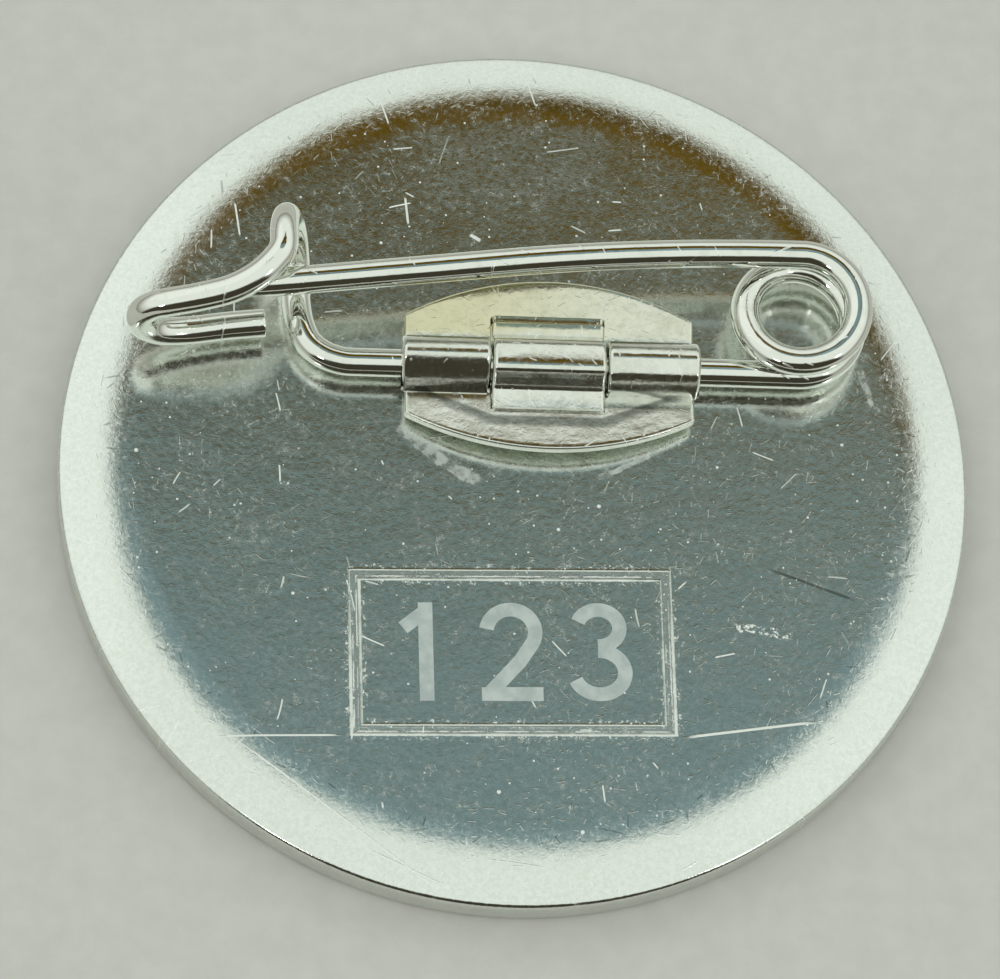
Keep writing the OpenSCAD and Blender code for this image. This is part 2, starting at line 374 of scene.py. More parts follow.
def box_burr_and_glint(g):
    """Bright burrs along both engraved lines of the box, partly a painted highlight: thin strands that run
    side by side, with a painted paler strip between the two lines. The outer line is painted brightest at the
    bottom, the inner one brighter towards the top."""
    flat = g.place()
    moved = g.add("ShaderNodeVectorMath", {"operation": "SUBTRACT"}, i0=flat, i1=(BOX_AT[0], BOX_AT[1], 0))
    turned = g.add("ShaderNodeVectorRotate", {"rotation_type": "Z_AXIS"}, Vector=moved.outputs[0],
                   Angle=math.radians(-BOX_TURN))
    warp = g.add("ShaderNodeTexNoise", Vector=flat, Scale=5.0, Detail=6.0, Roughness=0.75)
    sway = 0.09
    shaky = g.add("ShaderNodeVectorMath", {"operation": "MULTIPLY_ADD"}, i0=warp.outputs["Color"],
                  i1=(sway, sway, 0), i2=turned.outputs[0])
    part = g.add("ShaderNodeSeparateXYZ", Vector=shaky.outputs[0])
    x = g.math("SUBTRACT", part.outputs[0], sway / 2)
    y = g.math("SUBTRACT", part.outputs[1], sway / 2)
    edge = g.math("MAXIMUM", g.math("SUBTRACT", g.math("ABSOLUTE", x), BOX_SIZE[0] / 2),
                  g.math("SUBTRACT", g.math("ABSOLUTE", y), BOX_SIZE[1] / 2))
    outer = g.ramp(y, -1.0, 3.4, 1.0, 0.45)
    inner = g.math("MULTIPLY", g.ramp(y, -3.2, 2.5, 0.6, 1.0),
                   g.math("MAXIMUM", g.ramp(x, 5.9, 6.2, 1.0, 0.1), g.ramp(y, 0.3, 0.7, 1.0, 0.0)))
    masks = []
    strands = ((0.0, 0.1, 0.7, outer), (0.12, 0.035, 0.3, outer), (LINE_GAP - 0.13, 0.035, 0.3, inner),
               (LINE_GAP, 0.085, 0.55, inner))
    for i, (inset, width, least, share) in enumerate(strands):
        line = g.ramp(g.math("ABSOLUTE", g.math("ADD", edge, inset)), width * 0.3, width, 1.0, 0.0)
        patchy = g.ramp(g.noise(g.place(shift=(i * 7, i, 0)), 1.1, 5.0, 0.7), 0.36, 0.56, least, 1.0)
        masks.append(g.math("MULTIPLY", g.math("MULTIPLY", line, patchy), share))
    between = g.math("MULTIPLY", g.ramp(g.math("ADD", edge, LINE_GAP), -0.03, 0.02),
                     g.ramp(edge, -0.02, 0.03, 0.42, 0.0))
    beside = g.math("ABSOLUTE", g.math("ADD", edge, LINE_GAP / 2))
    splinters = g.math("MULTIPLY", g.ramp(beside, 0.3, 0.6, 1.0, 0.0),
                       g.ramp(g.noise(flat, 5.5, 5.0, 0.8), 0.56, 0.68, 0.0, 0.8))
    return g.most(masks + [between, splinters])


# Marks on the back, each from one end to the other and its width, in millimetres.
SCRATCHES = (
    ((-12.5, -12.25), (-7.1, -12.1), 0.08), ((6.6, -11.9), (12.6, -11.0), 0.12),
    ((-11.8, -12.2), (-3.2, -18.6), 0.08), ((-6.2, -16.9), (-2.7, -18.5), 0.12),
    ((-1.95, 10.5), (-1.45, 10.2), 0.18), ((-4.7, 12.2), (-4.55, 10.8), 0.1),
    ((-11.95, 11.7), (-11.7, 10.0), 0.08))
GOUGE = ((10.4, -4.3), (14.3, -5.7), 0.16)
# These are also rough at their edges, by the last number.
SCUFF = ((8.9, -6.9), (11.6, -7.3), 0.5, 0.3)
RUB = ((-4.5, 13.3), (5.0, 14.2), 5.0, 1.5)
SMEARS = (
    ((-5.1, 1.8), (-3.3, 0.2), 0.9, 0.4), ((-3.7, 0.4), (-1.4, -0.9), 0.8, 0.5),
    ((3.2, -0.6), (5.9, 0.7), 0.3, 0.3), ((14.6, 4.9), (15.2, 2.9), 0.4, 0.3))
# Handling marks lie where the flat back meets its margin.
HANDLED_R = 17.0
HANDLED_AT = (0, 0.6)


def disc_wear_and_glint(g, grit):
    """Bright wear on the disc: scuffs, scratches, flecks, a rubbed patch, and the box's burrs with their
    painted highlight.
    """
    flat = g.place()
    crowd = g.ramp(g.noise(flat, 0.2, 4.0, 0.65), 0.38, 0.6, 0.4, 1.0)
    scuffs = g.most([g.ticks(0.36, 0.035, 0.9, (3, 7, 0)), g.ticks(0.6, 0.035, 0.85, (11, 2, 0)),
                     g.ticks(0.9, 0.03, 0.8, (2, 19, 0))])
    scuffs = g.math("MULTIPLY", g.math("MULTIPLY", scuffs, crowd), 0.42)
    long_ticks = g.math("MULTIPLY", g.ticks(6.5, 0.03, 0.3, (23, 4, 0), 0.12), 0.5)
    scratches = g.most([g.ticks(1.5, 0.035, 0.22, (5, 13, 0)), g.ticks(2.6, 0.035, 0.16, (1, 17, 0)),
                        long_ticks])
    scuff = g.math("MULTIPLY", g.stroke(*SCUFF), g.ramp(grit, 0.5, 0.62))
    flecks = g.most([g.specks(0.7, 0.05, 0.25), g.specks(2.1, 0.09, 0.15, (9, 3, 0)), scuff])
    named = g.most([g.stroke(*mark) for mark in SCRATCHES])
    rubbed = g.math("MULTIPLY", g.stroke(*RUB), g.ramp(grit, 0.4, 0.62, 0.05, 0.3))
    # The box's burrs add a painted highlight along the engraved lines.
    return g.most([scuffs, scratches, flecks, named, rubbed, g.math("MULTIPLY", box_burr_and_glint(g), 0.95)])


def handling_marks(g):
    """Dark ticks in a ring about the flat part of the back."""
    shift = (-HANDLED_AT[0], -HANDLED_AT[1], 0)
    out = g.add("ShaderNodeVectorMath", {"operation": "LENGTH"}, i0=g.place(scale=(1, 1, 0), shift=shift))
    off_ring = g.math("ABSOLUTE", g.math("SUBTRACT", out.outputs["Value"], HANDLED_R))
    ticks = g.most([g.ticks(0.7, 0.05, 0.7, (4, 9, 0)), g.ticks(1.3, 0.06, 0.4, (8, 3, 0))])
    return g.math("MULTIPLY", g.ramp(off_ring, 0.25, 0.7, 1.0, 0.0), ticks)


def plate_nickel():
    """Polished nickel plate: fine grained haze all over, bright wear, dark marks and smears."""
    made, g, shader = new_material("plate_nickel")
    flat = g.place()
    cloud = g.ramp(g.noise(flat, 0.4, 4.0, 0.6), 0.38, 0.64)
    mottle = g.ramp(g.noise(flat, 1.5, 5.0, 0.7), 0.38, 0.66)
    grit = g.noise(flat, 5.0, 5.0, 0.75)
    # Wear, together with the painted highlight on the box's engraved lines.
    worn_and_glint = disc_wear_and_glint(g, grit)
    film = g.math("MULTIPLY", g.most([g.stroke(*mark) for mark in SMEARS]),
                  g.ramp(g.noise(flat, 2.0, 5.0, 0.6), 0.3, 0.65, 0.3, 0.75))
    haze = g.math("MULTIPLY", g.ramp(grit, 0.4, 0.7), g.ramp(mottle, 0.0, 1.0, 0.1, 0.22))
    haze = g.math("ADD", haze, g.math("MULTIPLY", cloud, 0.05))
    covered = g.math("MAXIMUM", worn_and_glint, film)
    rough = g.math("MAXIMUM", g.math("ADD", haze, 0.06), g.math("MULTIPLY", covered, 0.55))
    base = g.mix(g.ramp(grit, 0.38, 0.62), (0.72, 0.75, 0.7, 1), (0.80, 0.83, 0.79, 1))
    dark = g.math("MAXIMUM", g.stroke(*GOUGE), g.math("MULTIPLY", handling_marks(g), 0.8))
    base = g.mix(g.math("MULTIPLY", dark, 0.7), base, (0.2, 0.2, 0.18, 1))
    color = g.mix(covered, base, (0.95, 0.97, 0.94, 1))
    waves = g.math("ADD", g.noise(flat, 0.3, 2.0, 0.5),
                   g.math("MULTIPLY", g.noise(flat, 1.3, 3.0, 0.6), 0.35))
    normal = g.bump(g.noise(flat, 3.2, 5.0, 0.7), 0.5, 0.016, g.bump(waves, 0.25, 0.045))
    shader.inputs["Metallic"].default_value = 1.0
    finish_material(g, shader, color, rough, g.bump(worn_and_glint, 0.5, 0.012, normal))
    return made


def wire_nickel():
    """Bright drawn wire: small dents, worn spots and fine marks."""
    made, g, shader = new_material("wire_nickel")
    flat = g.place()
    dents = g.ramp(g.noise(flat, 1.3, 3.0, 0.5), 0.5, 0.75)
    nicks = g.most([g.ticks(0.8, 0.035, 0.6), g.ticks(1.9, 0.05, 0.5, (5, 3, 0))])
    color = g.mix(nicks, g.mix(dents, (0.80, 0.81, 0.76, 1), (0.74, 0.75, 0.69, 1)), (0.93, 0.94, 0.91, 1))
    rough = g.math("MAXIMUM", g.ramp(dents, 0, 1, 0.07, 0.13), g.math("MULTIPLY", nicks, 0.4))
    normal = g.bump(nicks, 0.4, 0.01, g.bump(g.noise(flat, 0.8, 3.0, 0.5), 0.3, 0.05))
    shader.inputs["Metallic"].default_value = 1.0
    finish_material(g, shader, color, rough, normal)
    return made


# Distances from the wire's axis to the painted shade and the stain on the joint's plate, and their reach
# to each side of the middle knuckle.
PAINTED_SHADE_FROM, PAINTED_SHADE_REACH = 2.2, 2.3
STAIN_FROM, STAIN_REACH = 1.2, 4.5


def joint_nickel():
    """Stamped sheet, plated: duller than the disc, rubbed all over, with painted shade on the plate below the
    middle foot.
    """
    made, g, shader = new_material("joint_nickel")
    flat = g.place()
    cloud = g.ramp(g.noise(flat, 1.2, 6.0, 0.65), 0.38, 0.7)
    grain = g.ramp(g.noise(flat, 5.0, 4.0, 0.7), 0.45, 0.68)
    rub = g.most([g.ticks(0.5, 0.035, 0.8), g.ticks(1.1, 0.04, 0.5, (7, 1, 0)), g.specks(0.9, 0.06, 0.35)])
    rub = g.math("MULTIPLY", rub, 0.75)
    spot = g.add("ShaderNodeSeparateXYZ", Vector=flat)
    ragged = g.math("MULTIPLY", g.math("SUBTRACT", g.noise(flat, 2.2, 5.0, 0.7), 0.5), 0.7)
    # Painted shade: a dark wedge on the plate a little below the middle foot, running out sideways, in place
    # of the foot's contact shadow.
    below = g.math("SUBTRACT", SWIVEL_Y - PAINTED_SHADE_FROM, spot.outputs[1])
    off_middle = g.math("ABSOLUTE", g.math("SUBTRACT", spot.outputs[0], MIDDLE_X))
    beside = g.math("MAXIMUM", g.math("SUBTRACT", off_middle, PAINTED_SHADE_REACH), 0.0)
    spread = g.math("ADD", g.math("MULTIPLY", beside, 0.5), below)
    painted_shade = g.math("MULTIPLY", g.ramp(g.math("ADD", spread, ragged), 0.3, 0.8, 0.75, 0.0),
                   g.ramp(g.math("ADD", below, g.math("MULTIPLY", beside, 0.4)), -0.1, 0.05))
    painted_shade = g.math("MULTIPLY", painted_shade, g.ramp(spot.outputs[2], SWIVEL_Z, SWIVEL_Z + 0.05, 1.0, 0.0))
    # Yellowish stain on the half of the plate beyond the wire.
    beyond = g.ramp(g.math("ADD", spot.outputs[1], ragged), SWIVEL_Y + STAIN_FROM,
                    SWIVEL_Y + STAIN_FROM + 0.5)
    stain = g.math("MULTIPLY", beyond, g.ramp(spot.outputs[0], MIDDLE_X - STAIN_REACH,
                                              MIDDLE_X + STAIN_REACH, 0.75, 0.25))
    sheet = g.mix(cloud, (0.78, 0.79, 0.74, 1), (0.69, 0.70, 0.63, 1))
    color = g.mix(rub, sheet, (0.94, 0.95, 0.92, 1))
    color = g.mix(stain, color, (0.66, 0.61, 0.36, 1))
    # Painted shade: the plate below the middle foot is darkened here.
    color = g.mix(painted_shade, color, (0.13, 0.15, 0.13, 1))
    veil = g.math("ADD", g.math("MULTIPLY", cloud, 0.08), g.math("MULTIPLY", grain, 0.1))
    rough = g.math("MAXIMUM", g.math("ADD", veil, 0.1), g.math("MULTIPLY", rub, 0.45))
    normal = g.bump(rub, 0.45, 0.012, g.bump(g.noise(flat, 1.1, 5.0, 0.6), 0.35, 0.05))
    shader.inputs["Metallic"].default_value = 1.0
    finish_material(g, shader, color, rough, normal)
    return made


def soft_solder():
    """Dull grey solder with a frozen, lumpy skin."""
    made, g, shader = new_material("soft_solder")
    flat = g.place()
    lumps = g.noise(flat, 2.4, 5.0, 0.6)
    color = g.mix(g.ramp(lumps, 0.35, 0.7), (0.46, 0.47, 0.44, 1), (0.66, 0.67, 0.63, 1))
    shader.inputs["Metallic"].default_value = 0.9
    finish_material(g, shader, color, g.ramp(lumps, 0.3, 0.75, 0.3, 0.55), g.bump(lumps, 0.5, 0.06))
    return made


def etched_white():
    """Frosted, near-white etching with a fine grain."""
    made, g, shader = new_material("etched_white")
    grain = g.noise(g.place(), 9.0, 4.0, 0.7)
    cloud = g.noise(g.place(), 1.4, 3.0, 0.5)
    color = g.mix(g.ramp(cloud, 0.35, 0.7), (0.5, 0.56, 0.56, 1), (0.64, 0.7, 0.69, 1))
    shader.inputs["Metallic"].default_value = 0.35
    finish_material(g, shader, color, g.ramp(grain, 0.3, 0.7, 0.5, 0.72), g.bump(grain, 0.4, 0.01))
    return made


def enamel_blue():
    """Glossy fired enamel: slight orange peel, tiny bubbles and a soft colour drift."""
    made, g, shader = new_material("enamel_blue")
    flat = g.place()
    drift = g.ramp(g.noise(flat, 0.12, 3.0, 0.5), 0.35, 0.7)
    dots = g.specks(1.1, 0.07, 0.3)
    color = g.mix(dots, g.mix(drift, (0.018, 0.05, 0.17, 1), (0.028, 0.075, 0.23, 1)), (0.09, 0.14, 0.3, 1))
    rough = g.math("MAXIMUM", g.ramp(g.noise(flat, 0.8, 4.0, 0.6), 0.3, 0.8, 0.05, 0.16),
                   g.math("MULTIPLY", dots, 0.4))
    peel = g.noise(flat, 0.9, 2.0, 0.45)
    shader.inputs["Coat Weight"].default_value = 0.6
    shader.inputs["Coat Roughness"].default_value = 0.04
    finish_material(g, shader, color, rough, g.bump(dots, 0.3, 0.01, g.bump(peel, 0.25, 0.05)))
    return made


def floor_pale():
    """Plain pale matte floor with a barely visible grain."""
    made, g, shader = new_material("floor_pale")
    grain = g.noise(g.place(), 0.8, 6.0, 0.6)
    color = g.mix(g.ramp(grain, 0.3, 0.7), (0.66, 0.64, 0.61, 1), (0.7, 0.68, 0.65, 1))
    finish_material(g, shader, color, 0.9, g.bump(grain, 0.2, 0.05))
    return made


def give(piece, material, slot, body, *nodes):
    """Material and body of a piece, and the CAD nodes that it stands for. The slot argument is not used."""
    piece.data.materials.clear()
    piece.data.materials.append(material)
    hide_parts(*nodes)
    if body:
        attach(piece, body)


# ---------------------------------------------------------------- camera, light and floor


# The camera looks from the lower edge, 22 degrees off the badge's axis: its azimuth, elevation and
# roll in degrees, its distance and the point it looks at in millimetres, and its lens.
CAMERA_TURN = (-13.6, 68.1, 14.26)
CAMERA_DISTANCE = 224.9
CAMERA_TARGET = (-0.71, -1.12)
LENS, SENSOR_W = 193.7, 36


def make_camera():
    """The camera, turned so that its right and up follow the roll."""
    a, e, r = (math.radians(v) for v in CAMERA_TURN)
    back = Vector((math.sin(a) * math.cos(e), -math.cos(a) * math.cos(e), math.sin(e)))
    level = (-back).cross(Vector((0, 0, 1))).normalized()
    rise = level.cross(-back)
    right = math.cos(r) * level + math.sin(r) * rise
    up = -math.sin(r) * level + math.cos(r) * rise
    target = Vector((*CAMERA_TARGET, BACK_Z))
    data = bpy.data.cameras.new("camera")
    data.lens = LENS
    data.sensor_width = SENSOR_W
    data.clip_start = 0.01
    camera = bpy.data.objects.new("camera", data)
    bpy.context.collection.objects.link(camera)
    turn = Matrix((right, up, back)).transposed().to_4x4()
    camera.matrix_world = Matrix.Translation((target + back * CAMERA_DISTANCE) * MM) @ turn
    bpy.context.scene.camera = camera


# What the polished metal reflects, in the world's own unit directions: a dim patch with a lower
# and an upper half, a wall that brightens with height, and a dim side behind the camera.
PATCH_AT = (0.09, 0.39)
PATCH_EDGE = (0.265, 0.31)
PATCH_SPLIT = (0.36, 0.41)
PATCH_TILT = 0.12
PATCH_LOW = ((0.108, 0.137, 0.112, 1), (0.29, 0.435, 0.48, 1))
PATCH_HIGH = ((0.05, 0.036, 0.012, 1), (0.19, 0.11, 0.004, 1))
WALL_LOW = (0.3, 0.3, 0.26, 1)
WALL_HIGH = (0.89, 0.95, 0.885, 1)
WALL_BEHIND = (0.05, 0.045, 0.03, 1)
BEHIND_EDGE = (-0.72, -0.6)
BACKDROP = (0.8, 0.79, 0.77, 1)
WORLD_STRENGTH = 1.0


def make_world():
    """Soft even studio light. What the polished metal reflects has a dim patch beside the camera's
    mirror direction and a dim low side behind the camera; the backdrop itself is plain."""
    world = bpy.data.worlds.new("studio")
    bpy.context.scene.world = world
    world.use_nodes = True
    g = Graph(world.node_tree)
    way = g.add("ShaderNodeTexCoord").outputs["Generated"]
    x, y, z = g.add("ShaderNodeSeparateXYZ", Vector=way).outputs
    off_x = g.math("SUBTRACT", x, PATCH_AT[0])
    off_y = g.math("SUBTRACT", y, PATCH_AT[1])
    wobble = g.math("MULTIPLY", g.math("SUBTRACT", g.noise(way, 6.0, 4.0, 0.6), 0.5), 0.12)
    spread = g.math("ADD", g.math("POWER", off_x, 2.0), g.math("POWER", off_y, 2.0))
    away = g.math("ADD", g.math("SQRT", spread), wobble)
    away = g.math("ADD", away, g.math("LESS_THAN", z, 0.0))
    near = g.ramp(away, PATCH_EDGE[0], PATCH_EDGE[1], 1.0, 0.0)
    blur = g.math("MULTIPLY", g.math("SUBTRACT", g.noise(way, 9.0, 5.0, 0.6), 0.5), 0.1)
    stretched = g.add("ShaderNodeVectorMath", {"operation": "MULTIPLY"}, i0=way, i1=(0.3, 1.6, 1.0))
    bands = g.noise(stretched.outputs[0], 16.0, 4.0, 0.6)
    low = g.mix(g.ramp(g.noise(way, 18.0, 5.0, 0.65), 0.4, 0.58), PATCH_LOW[0], PATCH_LOW[1])
    high = g.mix(g.ramp(bands, 0.42, 0.6), PATCH_HIGH[0], PATCH_HIGH[1])
    across = g.math("ADD", g.math("ADD", y, blur), g.math("MULTIPLY", off_x, PATCH_TILT))
    patch = g.mix(g.ramp(across, PATCH_SPLIT[0], PATCH_SPLIT[1]), low, high)
    wall = g.mix(g.ramp(z, 0.0, 0.5), WALL_LOW, WALL_HIGH)
    behind = g.ramp(g.math("ADD", y, g.math("MULTIPLY", wobble, 0.5)), BEHIND_EDGE[0], BEHIND_EDGE[1],
                    1.0, 0.0)
    wall = g.mix(behind, wall, WALL_BEHIND)
    seen = g.mix(near, wall, patch)
    plain = g.add("ShaderNodeLightPath").outputs["Is Camera Ray"]
    light = g.add("ShaderNodeBackground", Color=g.mix(plain, seen, BACKDROP), Strength=WORLD_STRENGTH)
    out = g.add("ShaderNodeOutputWorld")
    g.tree.links.new(light.outputs[0], out.inputs[0])


def area_light(name, at, size, power):
    """A soft square light that faces the badge."""
    data = bpy.data.lights.new(name, "AREA")
    data.shape = "SQUARE"
    data.size = size * MM
    data.energy = power
    lamp = bpy.data.objects.new(name, data)
    bpy.context.collection.objects.link(lamp)
    spot = Vector(at) * MM
    lamp.location = spot
    lamp.rotation_mode = "QUATERNION"
    lamp.rotation_quaternion = (-spot).to_track_quat("-Z", "Y")


def make_floor():
    """A plain square floor, far wider than the view."""
    half = 3000
    corners = [(-half, -half, 0), (half, -half, 0), (half, half, 0), (-half, half, 0)]
    floor = mesh_piece("floor", corners, [(0, 1, 2, 3)])
    floor.data.materials.append(floor_pale())


make_camera()
make_world()
make_floor()
area_light("window", (-300, 260, 420), 450, 0.05)
area_light("lamp", (330, 60, 460), 350, 0.02)
area_light("glint_left", (-260, -330, 270), 50, 0.07)
area_light("glint_right", (310, -300, 300), 50, 0.07)
bpy.context.scene.view_settings.view_transform = "Standard"

# ---------------------------------------------------------------- badge body

MARGIN_W = 3.4
MARGIN_SLOPE = 18.0
EDGE_R = 0.3
FRONT_EDGE_R = 0.3
RIM_W = BADGE_R - enamel_hi[0]


def disc_profile():
    """The disc from the middle of its back, over the soft margin and the side, to the front recess."""
    slope = math.radians(MARGIN_SLOPE)
    flat_r = BADGE_R - MARGIN_W
    big_r = (MARGIN_W - EDGE_R * (1 - math.sin(slope))) / math.sin(slope)
    corner_z = BACK_Z - big_r * (1 - math.cos(slope)) - EDGE_R * math.cos(slope)
    points = [(0, BACK_Z), (4, BACK_Z), (9, BACK_Z), (13, BACK_Z), (flat_r - 0.3, BACK_Z)]
    points += arc(flat_r, BACK_Z - big_r, big_r, 90, 90 - MARGIN_SLOPE, 24)
    points += arc(BADGE_R - EDGE_R, corner_z, EDGE_R, 90 - MARGIN_SLOPE, 0, 8)[1:]
    points += [(BADGE_R, corner_z - 0.15), (BADGE_R, 0.45)]
    points += arc(BADGE_R - FRONT_EDGE_R, FRONT_EDGE_R, FRONT_EDGE_R, 0, -90, 8)
    inner_r = BADGE_R - RIM_W
    points += [(inner_r + 0.35, 0), (inner_r + 0.1, 0)]
    points += arc(inner_r + 0.1, 0.1, 0.1, -90, -180, 5)[1:]
    points += [(inner_r, enamel_hi[2]), (inner_r - 0.3, enamel_hi[2]), (0, enamel_hi[2])]
    return points


def on_box(x, y, z):
    """The point that is at x and y from the engraved box's middle, along its own sides."""
    c, s = math.cos(math.radians(BOX_TURN)), math.sin(math.radians(BOX_TURN))
    return (BOX_AT[0] + c * x - s * y, BOX_AT[1] + s * x + c * y, z)


def groove_tool(w, h):
    """A V-shaped frame, ready to cut an engraved rectangle."""
    top = BACK_Z + 0.05
    rings = [(w / 2, h / 2, BACK_Z - LINE_DEPTH), (w / 2 + LINE_W, h / 2 + LINE_W, top),
             (w / 2 - LINE_W, h / 2 - LINE_W, top)]
    verts = []
    for hx, hy, z in rings:
        for sx, sy in ((1, 1), (-1, 1), (-1, -1), (1, -1)):
            verts.append(on_box(sx * hx, sy * hy, z))
    faces = []
    for a, b in ((0, 1), (1, 2), (2, 0)):
        for k in range(4):
            k2 = (k + 1) % 4
            faces.append((4 * a + k, 4 * a + k2, 4 * b + k2, 4 * b + k))
    return mesh_piece("groove_tool", verts, faces)


disc = lathe("badge_disc", disc_profile())
for inset in (0.0, 2 * LINE_GAP):
    combine(disc, groove_tool(BOX_SIZE[0] - inset, BOX_SIZE[1] - inset), "DIFFERENCE")
shade(disc, 24)
give(disc, plate_nickel(), "polished_nickel", "badge", "badge_body")


def enamel_profile():
    """The enamel from the middle of its hidden side, over its rounded rim, to its face."""
    r = enamel_hi[0]
    low, high = enamel_lo[2], enamel_hi[2]
    return [(0, high), (r * 0.7, high), (r - 0.02, high), (r - 0.02, low + 0.12)] \
        + arc(r - 0.14, low + 0.12, 0.12, 0, -90, 6)[1:] + [(r - 1.5, low), (r * 0.6, low), (0, low)]


enamel = lathe("enamel_field", enamel_profile())
give(enamel, enamel_blue(), "enamel", "badge", "front_enamel")

# ---------------------------------------------------------------- etched number

DIGIT_H = 4.3
DIGIT_W = 2.6
STROKE = 0.6
DIGIT_PITCH = 3.72
DIGIT_TOP = BACK_Z + 0.012


def digit_line(digit):
    """Centre lines of a plain digit in a box 1 wide and 1 high, as a list of strokes."""
    def bow(cx, cy, rx, ry, a0, a1):
        return arc(cx, cy, rx, a0, a1, max(6, int(abs(a1 - a0) / 9)), ry)
    low, high = STROKE / 2 / DIGIT_H, 1 - STROKE / 2 / DIGIT_H
    if digit == 1:
        return [[(0.2, 0.74), (0.6, 0.93)], [(0.56, 1.0), (0.56, 0.0)]]
    if digit == 2:
        hook = bow(0.49, 0.7, 0.39, high - 0.7, 172, -28)
        return [hook + [(0.62, 0.4), (0.115, low * 1.02)], [(0.0, low), (0.98, low)]]
    return [bow(0.46, 0.745, 0.34, high - 0.745, 160, -92), bow(0.46, 0.29, 0.41, 0.29 - low, 92, -160)]


def stroke_outline(points, width):
    """Both sides of a stroke of constant width with square ends."""
    left, right = [], []
    n = len(points)
    for i, p in enumerate(points):
        before, after = Vector(points[max(i - 1, 0)]), Vector(points[min(i + 1, n - 1)])
        d = (after - before).normalized()
        if 0 < i < n - 1:
            d1, d2 = (Vector(p) - before).normalized(), (after - Vector(p)).normalized()
            reach = 1 / max(0.55, math.sqrt((1 + d1.dot(d2)) / 2))
        else:
            reach = 1
        side = Vector((-d.y, d.x)) * width / 2 * reach
        left.append(Vector(p) + side)
        right.append(Vector(p) - side)
    return left, right


def ribbon(points, width):
    """A closed thin plate along a centre line on the back, sunk a little into it."""
    left, right = stroke_outline(points, width)
    n = len(left)
    verts = []
    for z in (DIGIT_TOP, BACK_Z - SINK):
        verts += [on_box(x, y, z) for x, y in left + right]
    faces = []
    for i in range(n - 1):
        a, b = i, n + i
        faces.append((a, a + 1, b + 1, b))
        faces.append((a + 2 * n, b + 2 * n, b + 1 + 2 * n, a + 1 + 2 * n))
        faces.append((a, a + 2 * n, a + 1 + 2 * n, a + 1))
        faces.append((b, b + 1, b + 1 + 2 * n, b + 2 * n))
    for i in (0, n - 1):
        a, b = i, n + i
        faces.append((a, b, b + 2 * n, a + 2 * n))
    return mesh_piece("stroke", verts, faces)


def number_piece(digits):
    """The digits as one thin plate, joined from their strokes."""
    strokes = []
    for place, digit in enumerate(digits):
        x0 = (place - (len(digits) - 1) / 2) * DIGIT_PITCH - DIGIT_W / 2
        for line in digit_line(digit):
            points = [(x0 + x * DIGIT_W, (y - 0.5) * DIGIT_H) for x, y in line]
            strokes.append(ribbon(points, STROKE))
    whole = strokes[0]
    whole.name = "etched_number"
    for other in strokes[1:]:
        combine(whole, other, "UNION")
    shade(whole, 30)
    return whole


number = number_piece((1, 2, 3))
give(number, etched_white(), "polished_nickel", "badge")

# ---------------------------------------------------------------- joint

DISH_RISE = plate_hi[2] - plate_lo[2] - SHEET_T * 1.03
plate_mid = ((plate_lo[0] + plate_hi[0]) / 2, (plate_lo[1] + plate_hi[1]) / 2)
plate_size = (plate_hi[0] - plate_lo[0], plate_hi[1] - plate_lo[1])
# The plate is flat under the knuckles and turns up on both sides of them.
DISH_FLAT, DISH_TURN = 1.0, 0.45
DISH_SLOPE = DISH_RISE / (plate_size[1] / 2 - DISH_FLAT - DISH_TURN / 2)


def dish(y, depth):
    """Height of the dished plate at y: depth 0 is its underside, SHEET_T its upper face."""
    beyond = max(0.0, abs(y - plate_mid[1]) - DISH_FLAT)
    turning = min(beyond, DISH_TURN)
    return plate_lo[2] + depth + DISH_SLOPE * (turning ** 2 / (2 * DISH_TURN) + beyond - turning)


def half_height(x, w, end_h, mid_h):
    """Half the height of the barrel outline at x from its middle."""
    rise = (mid_h - end_h) / 2
    big = (w * w / 4 + rise * rise) / (2 * rise)
    return math.sqrt(big * big - x * x) - big + mid_h / 2


def barrel_slab(name, w, end_h, mid_h, floor, ceiling, columns=60, rows=30):
    """A slab with a barrel outline. floor and ceiling give the height of its faces at a given y."""
    verts = []
    for face in (floor, ceiling):
        for i in range(columns + 1):
            x = w * (i / columns - 0.5)
            reach = half_height(x, w, end_h, mid_h)
            for k in range(rows + 1):
                y = plate_mid[1] + reach * (2 * k / rows - 1)
                verts.append((plate_mid[0] + x, y, face(y)))
    line = rows + 1
    layer = (columns + 1) * line
    faces = []
    for i in range(columns):
        for k in range(rows):
            a = i * line + k
            faces.append((a, a + 1, a + line + 1, a + line))
            faces.append(tuple(layer + v for v in (a, a + line, a + line + 1, a + 1)))
    border = [i * line for i in range(columns + 1)] + [columns * line + k for k in range(1, line)]
    border += [i * line + rows for i in range(columns - 1, -1, -1)] + list(range(rows - 1, 0, -1))
    for a, b in zip(border, border[1:] + border[:1]):
        faces.append((a, b, b + layer, a + layer))
    return mesh_piece(name, verts, faces, 20)


plate = barrel_slab("joint_base_plate", plate_size[0], 4.5, plate_size[1],
                    lambda y: dish(y, 0), lambda y: dish(y, SHEET_T))
bevel(plate, 0.1, 4)
joint_metal = joint_nickel()
bore_line = [(plate_lo[0] - 2, SWIVEL_Y, SWIVEL_Z), (plate_hi[0] + 2, SWIVEL_Y, SWIVEL_Z)]
bore = swept_wire("bore_tool", bore_line, BORE_R, (1, 0, 0), (1, 0, 0), 96)
combine(plate, bore, "DIFFERENCE")
shade(plate, 30)
give(plate, joint_metal, "polished_nickel", "badge", "joint_plate")

solder = barrel_slab("solder_fillet", solder_hi[0] - solder_lo[0], 3.7, solder_hi[1] - solder_lo[1],
                     lambda y: solder_lo[2], lambda y: dish(y, 0) + 0.01)
give(solder, soft_solder(), "solder", "badge", "solder_bed")


